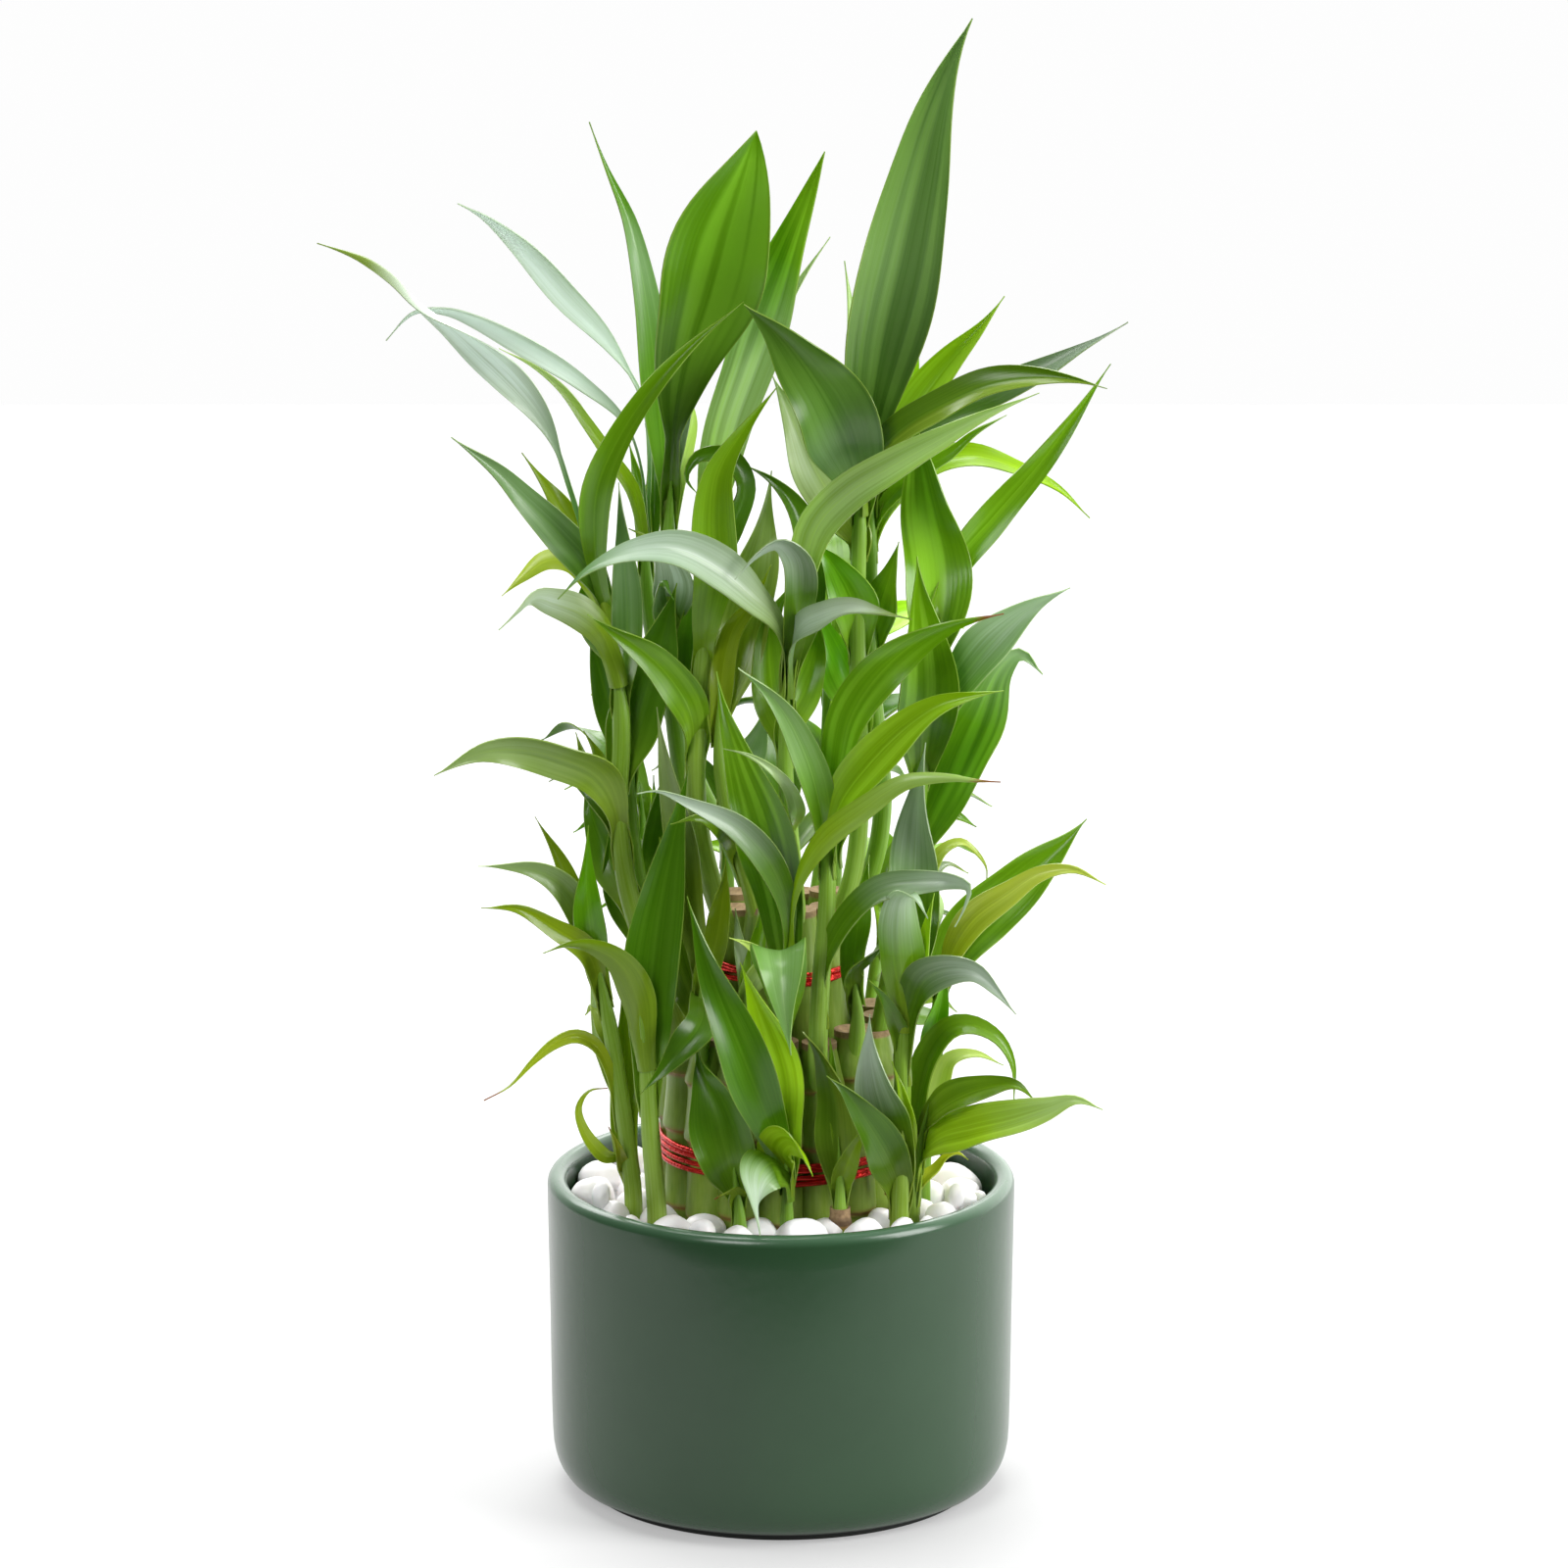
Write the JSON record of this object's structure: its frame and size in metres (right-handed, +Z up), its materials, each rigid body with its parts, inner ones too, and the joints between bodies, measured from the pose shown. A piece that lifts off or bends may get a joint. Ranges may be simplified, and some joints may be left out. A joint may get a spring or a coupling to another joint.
{
  "type": "potted lucky bamboo",
  "caption": "Lucky bamboo canes tied in two tiers with leafy side shoots and younger stalks, standing in white pebbles in a round dark green glazed pot",
  "frame": {"origin": "middle of the pot's underside, on the surface it stands on", "axes": "+Z up along the pot's axis, the pictured front faces -Y, +X to the right seen from the front"},
  "size_m": [0.2683, 0.2007, 0.5097],
  "materials": {
    "glaze": "satin dark green glaze",
    "growing_medium": "damp bark and fibre",
    "marble": "tumbled and polished",
    "red_foil": "red metallic foil on wire",
    "foliage": "living leaf and cane, satin"
  },
  "bodies": {
    "root": {"pot": "glaze", "growing_medium": "growing_medium", "white_pebbles": "marble", "lower_tie": "red_foil", "upper_tie": "red_foil", "outer_stalk_1": "foliage", "outer_stalk_2": "foliage", "outer_stalk_3": "foliage", "outer_stalk_4": "foliage", "outer_stalk_5": "foliage", "outer_stalk_6": "foliage", "outer_stalk_7": "foliage", "outer_stalk_8": "foliage", "outer_stalk_9": "foliage", "outer_stalk_10": "foliage", "outer_stalk_11": "foliage", "outer_stalk_12": "foliage", "outer_stalk_13": "foliage", "outer_stalk_14": "foliage", "outer_stalk_15": "foliage", "outer_stalk_16": "foliage", "inner_stalk_1": "foliage", "inner_stalk_2": "foliage", "inner_stalk_3": "foliage", "inner_stalk_4": "foliage", "inner_stalk_5": "foliage", "inner_stalk_6": "foliage", "inner_stalk_7": "foliage", "inner_stalk_8": "foliage", "planted_stalk_1": "foliage", "planted_stalk_2": "foliage", "planted_stalk_3": "foliage", "planted_stalk_4": "foliage", "planted_stalk_5": "foliage", "planted_stalk_6": "foliage", "planted_stalk_7": "foliage", "planted_stalk_8": "foliage"}
  },
  "joints": []
}
